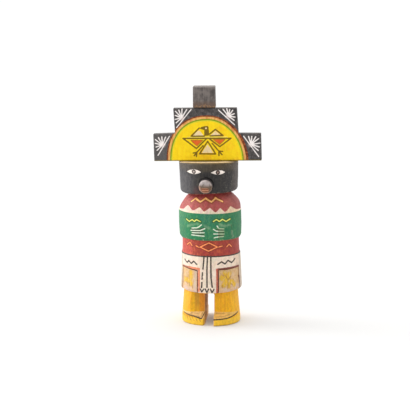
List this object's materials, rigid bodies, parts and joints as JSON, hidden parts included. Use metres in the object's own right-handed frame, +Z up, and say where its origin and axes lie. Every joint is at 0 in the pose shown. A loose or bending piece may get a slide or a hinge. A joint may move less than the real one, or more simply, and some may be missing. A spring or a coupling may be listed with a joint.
{
  "type": "kachina doll",
  "caption": "Carved and painted wooden kachina doll: a round figure with folded arms and parted legs, a stepped tableta board on its head, a block on top and a peg snout.",
  "frame": {"origin": "on the floor, under the middle of the doll's bounding box", "axes": "+Z up; -Y the way the face and the painted front look; +X towards the right of someone who faces the doll"},
  "size_m": [0.0904, 0.0598, 0.2008],
  "materials": {
    "painted_root": "matt hand paint in bands of black, maroon, green, red, cream and ochre, worn at the edges",
    "painted_board": "matt black hand paint with a yellow arch",
    "block_wood": "thin grey-brown wash over bare wood",
    "snout_wood": "worn grey paint on a whittled dowel"
  },
  "bodies": {
    "root": {"body": "painted_root", "snout": "snout_wood", "tableta": "painted_board", "crown_block": "block_wood"}
  },
  "joints": []
}
